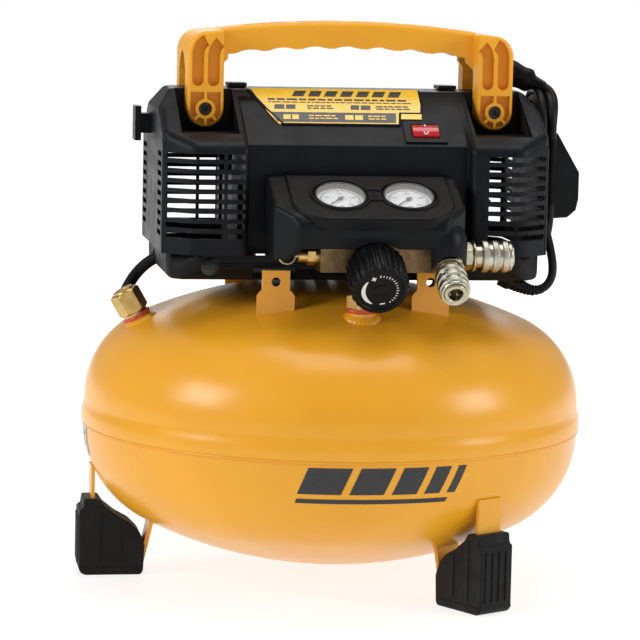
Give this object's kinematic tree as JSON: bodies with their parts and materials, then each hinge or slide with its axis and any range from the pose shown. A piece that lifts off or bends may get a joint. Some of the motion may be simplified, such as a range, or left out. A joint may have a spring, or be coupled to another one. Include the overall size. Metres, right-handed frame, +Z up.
{
  "type": "pancake air compressor",
  "caption": "Portable air compressor: flat round tank on rubber feet, belt-driven pump under a plastic shroud, gauge and regulator console, quick couplers, carrying handle and wound power cord.",
  "frame": {"origin": "on the floor, on the vertical axis of the round tank", "axes": "+Z up; -Y is the side with the console and gauges; +X is the end with the wound power cord"},
  "size_m": [0.4132, 0.4104, 0.454],
  "materials": {
    "yellow_paint": "satin powder coat over steel",
    "handle_plastic": "moulded nylon, fine texture",
    "shroud_plastic": "moulded, fine texture",
    "console_plastic": "moulded, satin",
    "black_plastic": "moulded, satin",
    "boot_rubber": "matt",
    "belt_rubber": "matt",
    "hose_rubber": "satin",
    "cord_jacket": "satin",
    "brass": "machined, slightly dull",
    "plated_steel": "yellow zinc plating",
    "sleeve_plating": "knurled, yellow zinc plating",
    "cast_alloy": "as cast",
    "machined_alloy": "machined",
    "piston_ptfe": "filled PTFE",
    "bolt_steel": "black oxide",
    "motor_shell": "grey enamel",
    "rotor_steel": "laminations and shaft",
    "bezel_plastic": "gloss",
    "dial_white": "matt white",
    "needle_black": "matt",
    "lens_clear": "clear",
    "label": "printed film",
    "rocker_red": "gloss"
  },
  "bodies": {
    "frame": {"tank_upper": "yellow_paint", "tank_lower": "yellow_paint", "tank_bungs": "yellow_paint", "strap_left": "yellow_paint", "strap_right": "yellow_paint", "strap_rear": "yellow_paint", "boot_left": "boot_rubber", "boot_right": "boot_rubber", "boot_rear": "boot_rubber", "mount_tabs": "yellow_paint", "isolators": "boot_rubber", "check_valve": "brass", "outlet_tube": "hose_rubber", "riser_pipe": "brass", "manifold": "cast_alloy", "pressure_switch": "black_plastic", "safety_valve": "brass", "drain_body": "brass", "regulator_body": "black_plastic", "coupler_front": "plated_steel", "coupler_side": "plated_steel", "gauge_case_tank": "bezel_plastic", "gauge_dial_tank": "dial_white", "gauge_lens_tank": "lens_clear", "gauge_case_line": "bezel_plastic", "gauge_dial_line": "dial_white", "gauge_lens_line": "lens_clear", "console": "console_plastic", "shroud_front": "shroud_plastic", "shroud_rear": "shroud_plastic", "base_pan": "shroud_plastic", "label_plate": "label", "ridge_pads": "console_plastic", "handle": "handle_plastic", "handle_bolts": "bolt_steel", "switch_bezel": "console_plastic", "cord_hook": "console_plastic", "cord_wrap": "console_plastic", "cord_gland": "black_plastic", "cord_leads": "cord_jacket", "cord_winding": "cord_jacket", "cord_plug": "black_plastic", "motor_housing": "motor_shell", "motor_bracket": "motor_shell", "drive_belt": "belt_rubber", "pump_body": "cast_alloy", "cylinder_head": "cast_alloy"},
    "rocker": {"rocker": "rocker_red"},
    "regulator_knob": {"regulator_knob": "black_plastic"},
    "front_sleeve": {"sleeve_front": "sleeve_plating"},
    "side_sleeve": {"sleeve_side": "sleeve_plating"},
    "safety_ring": {"safety_ring": "plated_steel"},
    "drain_knob": {"drain_knob": "brass"},
    "tank_needle": {"gauge_needle_tank": "needle_black"},
    "line_needle": {"gauge_needle_line": "needle_black"},
    "rotor": {"motor_rotor": "rotor_steel"},
    "crank": {"crank_wheel": "cast_alloy"},
    "rod": {"connecting_rod": "machined_alloy"},
    "piston": {"piston": "piston_ptfe"}
  },
  "joints": [
    {"name": "power_rocker", "type": "hinge", "parent": "frame", "child": "rocker", "pos_m": [0.061, -0.05979, 0.36201], "axis": [1, 0, 0], "range_deg": [-8, 8]},
    {"name": "regulator_turn", "type": "hinge", "parent": "frame", "child": "regulator_knob", "pos_m": [0.009, -0.14139, 0.268], "axis": [0, -0.866, -0.5], "range_deg": [-720, 720]},
    {"name": "front_sleeve_slide", "type": "slide", "parent": "frame", "child": "front_sleeve", "axis": [0, 0.866, 0.5], "range_m": [0, 0.005], "stiffness_N_per_m": 600, "springref_m": -0.004},
    {"name": "side_sleeve_slide", "type": "slide", "parent": "frame", "child": "side_sleeve", "axis": [-1, 0, 0], "range_m": [0, 0.005], "stiffness_N_per_m": 600, "springref_m": -0.004},
    {"name": "safety_pull", "type": "slide", "parent": "frame", "child": "safety_ring", "axis": [-1, 0, 0], "range_m": [0, 0.0025], "stiffness_N_per_m": 900, "springref_m": -0.003},
    {"name": "drain_turn", "type": "hinge", "parent": "frame", "child": "drain_knob", "pos_m": [-0.06443, 0.15948, 0.056], "axis": [-0.287, 0.7103, -0.6428], "range_deg": [0, 720]},
    {"name": "tank_needle_turn", "type": "hinge", "parent": "frame", "child": "tank_needle", "pos_m": [-0.016, -0.122, 0.3195], "axis": [0, 0.4067, -0.9135], "range_deg": [0, 270], "stiffness_Nm_per_rad": 0.0004},
    {"name": "line_needle_turn", "type": "hinge", "parent": "frame", "child": "line_needle", "pos_m": [0.038, -0.122, 0.3195], "axis": [0, 0.4067, -0.9135], "range_deg": [0, 270], "stiffness_Nm_per_rad": 0.0004},
    {"name": "motor_spin", "type": "hinge", "parent": "frame", "child": "rotor", "pos_m": [0.068, 0.038, 0.312], "axis": [1, 0, 0], "continuous": true},
    {"name": "crank_spin", "type": "hinge", "parent": "frame", "child": "crank", "pos_m": [0, -0.02, 0.302], "axis": [1, 0, 0], "continuous": true},
    {"name": "rod_pivot", "type": "hinge", "parent": "crank", "child": "rod", "pos_m": [-0.06, -0.02, 0.309], "axis": [1, 0, 0], "continuous": true},
    {"name": "piston_slide", "type": "slide", "parent": "frame", "child": "piston", "axis": [0, 0, 1], "range_m": [-0.014, 0]}
  ],
  "couplings": [
    {"joint": "crank_spin", "follows": "motor_spin", "ratio": 0.26829},
    {"joint": "rod_pivot", "follows": "motor_spin", "ratio": -0.26829}
  ]
}
